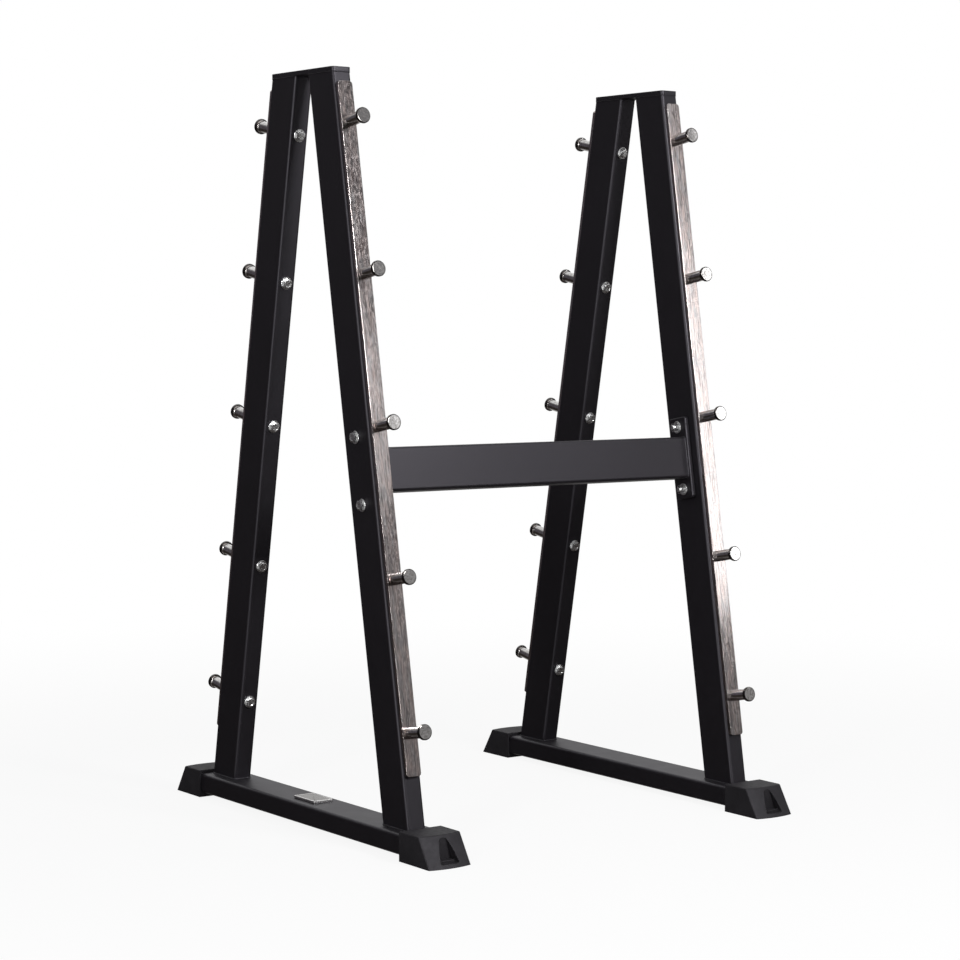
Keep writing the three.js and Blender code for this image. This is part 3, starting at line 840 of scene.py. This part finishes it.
HEX_HEAD = hex_mesh(HEAD_THICKNESS, HEAD_DISH)
HEX_NUT = hex_mesh(NUT_THICKNESS, 0, True)
for side in SIDES:
    base_tube(side)
    top_plate(side)
    for end in ENDS:
        upright(side, end)
        wear_strip(side, end)
        for number in range(1, len(PEG_PLACES) + 1):
            peg(side, end, number)
rubber_feet()
crossbar()
badge()


# Floor, background, lamps and camera
def light_path(nodes, links, names):
    """One where a ray is of one of the named kinds, and zero elsewhere."""
    path = nodes.new("ShaderNodeLightPath")
    total = path.outputs[names[0]]
    for name in names[1:]:
        add = nodes.new("ShaderNodeMath")
        add.operation = "MAXIMUM"
        links.new(total, add.inputs[0])
        links.new(path.outputs[name], add.inputs[1])
        total = add.outputs[0]
    return total


FLOOR_SIZE = 40.0
FLOOR_WHITE = 0.80
FLOOR_GLOW = 0.90
GLOW_STARTS = 0.6
GLOW_ENDS = 3.2


def pale_floor():
    """White studio floor that keeps a soft shadow under the rack and is fully white far from it."""
    bm = bmesh.new()
    bmesh.ops.create_grid(bm, x_segments=1, y_segments=1, size=FLOOR_SIZE / 2)
    mesh = to_mesh("floor", bm)
    floor = in_scene("floor", mesh)
    material = bpy.data.materials.new("pale floor")
    material.use_nodes = True
    nodes, links = material.node_tree.nodes, material.node_tree.links
    nodes.clear()
    matt = nodes.new("ShaderNodeBsdfDiffuse")
    matt.inputs["Color"].default_value = (*grey(FLOOR_WHITE), 1)
    glow = nodes.new("ShaderNodeEmission")
    glow.inputs["Color"].default_value = (*WHITE, 1)
    glow.inputs["Strength"].default_value = 1.0
    place = nodes.new("ShaderNodeTexCoord").outputs["Object"]
    away = nodes.new("ShaderNodeVectorMath")
    away.operation = "LENGTH"
    links.new(place, away.inputs[0])
    fade = nodes.new("ShaderNodeMapRange")
    fade.interpolation_type = "SMOOTHSTEP"
    fade.inputs["From Min"].default_value = GLOW_STARTS
    fade.inputs["From Max"].default_value = GLOW_ENDS
    fade.inputs["To Min"].default_value = FLOOR_GLOW
    fade.inputs["To Max"].default_value = 1.0
    links.new(away.outputs["Value"], fade.inputs["Value"])
    share = nodes.new("ShaderNodeMath")
    share.operation = "MULTIPLY"
    links.new(fade.outputs["Result"], share.inputs[1])
    links.new(light_path(nodes, links, ["Is Camera Ray"]), share.inputs[0])
    mix = nodes.new("ShaderNodeMixShader")
    links.new(share.outputs[0], mix.inputs["Fac"])
    links.new(matt.outputs[0], mix.inputs[1])
    links.new(glow.outputs[0], mix.inputs[2])
    out = nodes.new("ShaderNodeOutputMaterial")
    links.new(mix.outputs[0], out.inputs["Surface"])
    mesh.materials.append(material)
    floor.visible_glossy = False


def studio_world():
    """White to the camera and an even grey to matt surfaces, with a studio of its own for gloss.

    Gloss sees white high up behind the right, a grey overhead, darker sides and a dark ground,
    which is paler straight below and has two bright patches.
    """
    world = bpy.data.worlds.new("studio")
    bpy.context.scene.world = world
    world.use_nodes = True
    nodes, links = world.node_tree.nodes, world.node_tree.links
    nodes.clear()
    way = nodes.new("ShaderNodeTexCoord").outputs["Generated"]

    def toward(direction, start, end):
        """Goes from zero to one as a ray comes nearer to a direction."""
        dot = nodes.new("ShaderNodeVectorMath")
        dot.operation = "DOT_PRODUCT"
        dot.inputs[1].default_value = Vector(direction).normalized()
        links.new(way, dot.inputs[0])
        soft = nodes.new("ShaderNodeMapRange")
        soft.interpolation_type = "SMOOTHSTEP"
        soft.inputs["From Min"].default_value = start
        soft.inputs["From Max"].default_value = end
        links.new(dot.outputs["Value"], soft.inputs["Value"])
        return soft.outputs["Result"]

    def mixed(share, first, second):
        """The first colour where the share is zero, and the second where it is one."""
        mix = nodes.new("ShaderNodeMix")
        mix.data_type = "RGBA"
        links.new(share, mix.inputs["Factor"])
        for socket, value in (("A", first), ("B", second)):
            if isinstance(value, tuple):
                mix.inputs[socket].default_value = (*value, 1)
            else:
                links.new(value, mix.inputs[socket])
        return mix.outputs["Result"]

    sky = mixed(toward((0.42, 0.80, 0.42), 0.50, 0.90), (0.15, 0.145, 0.15), WHITE)
    above = mixed(toward((0, 0, 1), 0.45, 0.85), sky, grey(0.7))
    back = mixed(toward((0, 0, 1), 0.12, 0.26), (0.06, 0.055, 0.055), above)
    side = mixed(toward((-0.85, 0.52, 0.0), 0.50, 0.88), back, (0.080, 0.073, 0.083))
    ground = mixed(toward((0, 0, -1), 0.0, 0.20), side, (0.028, 0.023, 0.021))
    below = mixed(toward((0, 0, -1), 0.42, 0.72), ground, (0.095, 0.088, 0.085))
    floor = mixed(toward((0.42, 0.75, -0.50), 0.88, 0.97), below, (0.40, 0.39, 0.385))
    corner = mixed(toward((-0.80, -0.55, -0.30), 0.92, 0.98), floor, WHITE)
    seen = mixed(light_path(nodes, links, ["Is Camera Ray"]), corner, WHITE)
    shown = mixed(
        light_path(nodes, links, ["Is Camera Ray", "Is Glossy Ray", "Is Transmission Ray"]),
        (0.32, 0.32, 0.33), seen)
    background = nodes.new("ShaderNodeBackground")
    links.new(shown, background.inputs["Color"])
    out = nodes.new("ShaderNodeOutputWorld")
    links.new(background.outputs[0], out.inputs["Surface"])


def softbox(name, place, target, width, height, level):
    """Flat lamp whose face glows at the given level, where one is white."""
    lamp = bpy.data.lights.new(name, "AREA")
    lamp.shape = "RECTANGLE"
    lamp.size = width
    lamp.size_y = height
    lamp.energy = level * math.pi * width * height
    stand = in_scene(name, lamp)
    stand.location = place
    stand.rotation_euler = (Vector(target) - Vector(place)).to_track_quat("-Z", "Y").to_euler()


CAMERA_PLACE = (-2.900872, -3.988273, 0.991015)
CAMERA_YAW = math.radians(36.253)
CAMERA_PITCH = math.radians(-7.205)
CAMERA_ROLL = math.radians(0.270)
CAMERA_FOCUS = 2455.037
CAMERA_CENTRE = (487.809, 623.255)
CAMERA_REACH = 100
PICTURE_SIDE = 960
SENSOR = 36.0


def photo_camera():
    """Camera at the photograph's angle, with its off-centre framing as lens shift."""
    data = bpy.data.cameras.new("camera")
    data.sensor_width = SENSOR
    data.lens = CAMERA_FOCUS * SENSOR / PICTURE_SIDE
    data.shift_x = (PICTURE_SIDE / 2 - CAMERA_CENTRE[0]) / PICTURE_SIDE
    data.shift_y = (CAMERA_CENTRE[1] - PICTURE_SIDE / 2) / PICTURE_SIDE
    data.clip_end = CAMERA_REACH
    ahead = Vector((math.sin(CAMERA_YAW) * math.cos(CAMERA_PITCH),
                    math.cos(CAMERA_YAW) * math.cos(CAMERA_PITCH), math.sin(CAMERA_PITCH)))
    right = Vector((math.cos(CAMERA_YAW), -math.sin(CAMERA_YAW), 0))
    up = right.cross(ahead)
    rolled_right = right * math.cos(CAMERA_ROLL) + up * math.sin(CAMERA_ROLL)
    rolled_up = up * math.cos(CAMERA_ROLL) - right * math.sin(CAMERA_ROLL)
    turn = Matrix((rolled_right, rolled_up, -ahead)).transposed().to_4x4()
    camera = in_scene("camera", data)
    camera.matrix_world = Matrix.Translation(CAMERA_PLACE) @ turn
    bpy.context.scene.camera = camera


bpy.context.scene.view_settings.view_transform = "Standard"
pale_floor()
studio_world()
softbox("key", (0.2, -2.75, 1.95), (-0.2, 0, 0.8), 0.7, 0.7, 38.0)
softbox("left side", (-3.3, -2.0, 1.5), (0, 0, 0.8), 0.30, 2.8, 17.0)
softbox("middle panel", (1.15, -2.8, 1.58), (-0.3, 0, 0.8), 0.5, 0.5, 0.8)
softbox("right panel", (2.46, -2.6, 1.47), (0.3, 0, 0.8), 0.28, 1.2, 3.0)
softbox("high right panel", (2.43, -2.6, 2.44), (0.3, 0, 1.2), 0.28, 0.7, 1.5)
softbox("low panel", (1.9, -2.75, 0.8), (0.1, 0, 0.5), 1.5, 0.85, 0.18)
softbox("overhead", (0.0, 0.2, 3.2), (0, 0, 0.4), 2.2, 2.2, 0.3)
photo_camera()
